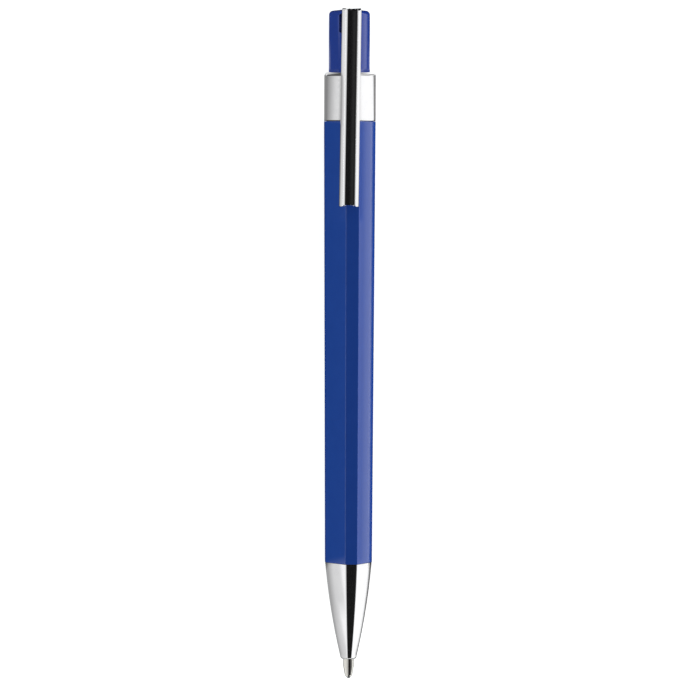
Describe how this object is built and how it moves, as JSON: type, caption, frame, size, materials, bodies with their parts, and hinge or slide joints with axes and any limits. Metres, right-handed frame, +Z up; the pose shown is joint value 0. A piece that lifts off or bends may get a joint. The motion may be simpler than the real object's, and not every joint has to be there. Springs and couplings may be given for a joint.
{
  "type": "retractable ballpoint pen",
  "caption": "Push-button ballpoint pen with a rounded triangular plastic barrel, plated collar and nose cone, and a channel-shaped metal pocket clip.",
  "frame": {"origin": "on the resting surface, under the centre of the pen's bounding box", "axes": "+X along the pen towards the push button, +Z up on the clip's side, +Y across"},
  "size_m": [0.1408, 0.0108, 0.0138],
  "materials": {
    "blue_abs": "polished moulding",
    "chrome_plate": "bright plate on cast metal",
    "clip_steel": "bright plate on pressed steel",
    "white_acetal": "as moulded",
    "clear_tube": "extruded",
    "ink_paste": "viscous paste",
    "grease": "translucent gel",
    "nickel_silver": "turned",
    "carbide": "lapped",
    "spring_steel": "drawn wire"
  },
  "bodies": {
    "barrel": {"barrel": "blue_abs", "collar": "chrome_plate", "guide_sleeve": "white_acetal", "return_spring": "spring_steel"},
    "nose": {"nose_cone": "chrome_plate"},
    "button": {"push_button": "blue_abs", "plunger": "white_acetal"},
    "clip": {"clip": "clip_steel"},
    "refill": {"ink_tube": "clear_tube", "ink": "ink_paste", "grease_plug": "grease", "point_adaptor": "white_acetal", "point": "nickel_silver", "writing_ball": "carbide"},
    "rotor": {"rotor": "white_acetal"}
  },
  "joints": [
    {"name": "button_slide", "type": "slide", "parent": "barrel", "child": "button", "axis": [1, 0, 0.0042], "range_m": [-0.0015, 0.005], "stiffness_N_per_m": 300},
    {"name": "clip_flex", "type": "hinge", "parent": "button", "child": "clip", "pos_m": [0.06731, 0.00042, 0.00581], "axis": [0, 1, 0], "range_deg": [0, 3.5], "stiffness_Nm_per_rad": 1.8},
    {"name": "refill_slide", "type": "slide", "parent": "barrel", "child": "refill", "axis": [1, 0, 0.0042], "range_m": [-0.0015, 0.005], "deforming": ["return_spring"]},
    {"name": "rotor_turn", "type": "hinge", "parent": "refill", "child": "rotor", "pos_m": [0.03461, 0, 0.00447], "axis": [1, 0, 0.0042], "range_deg": [0, 90]},
    {"name": "nose_cone_pull", "type": "slide", "parent": "barrel", "child": "nose", "axis": [1, 0, 0.0042], "range_m": [-0.034, 0]}
  ],
  "couplings": [
    {"joint": "refill_slide", "follows": "button_slide", "ratio": 1}
  ]
}
